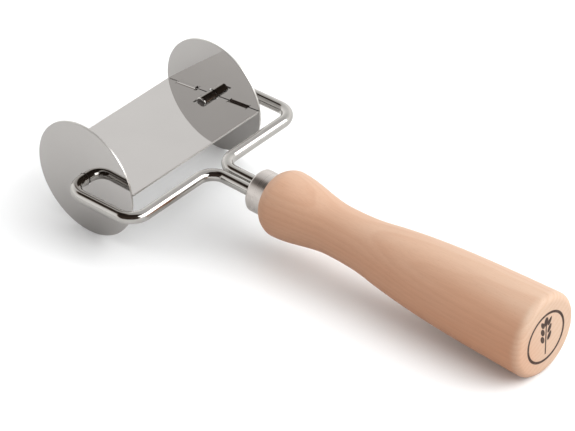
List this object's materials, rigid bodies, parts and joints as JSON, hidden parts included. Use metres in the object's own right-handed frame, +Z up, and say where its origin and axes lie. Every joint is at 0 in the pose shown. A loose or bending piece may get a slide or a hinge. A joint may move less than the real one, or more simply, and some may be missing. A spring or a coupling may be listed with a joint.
{
  "type": "roller dough cutter",
  "caption": "Hand roller that cuts rolled dough into squares: a disc-ended blade spins in a wire fork set in a turned wooden grip.",
  "frame": {"origin": "on the table under the middle of the tool's outline, with the disc rims and the butt's lower edge resting on the table", "axes": "+X towards the butt of the grip, +Y along the cutter's axle towards the right-hand disc, +Z up"},
  "size_m": [0.2238, 0.0994, 0.05],
  "materials": {
    "beech": "fine-sanded raw beech, satin",
    "brushed_steel": "satin, brushed round the ferrule",
    "polished_wire": "polished stainless wire",
    "mirror_sheet": "mirror-polished stainless sheet"
  },
  "bodies": {
    "handle": {"grip": "beech", "ferrule": "brushed_steel", "fork_wire_left": "polished_wire", "fork_wire_right": "polished_wire"},
    "cutter": {"disc_left": "mirror_sheet", "disc_right": "mirror_sheet", "blade": "mirror_sheet"}
  },
  "joints": [
    {"name": "cutter_spin", "type": "hinge", "parent": "handle", "child": "cutter", "pos_m": [-0.08689, 0, 0.025], "axis": [0, 1, 0], "continuous": true}
  ]
}
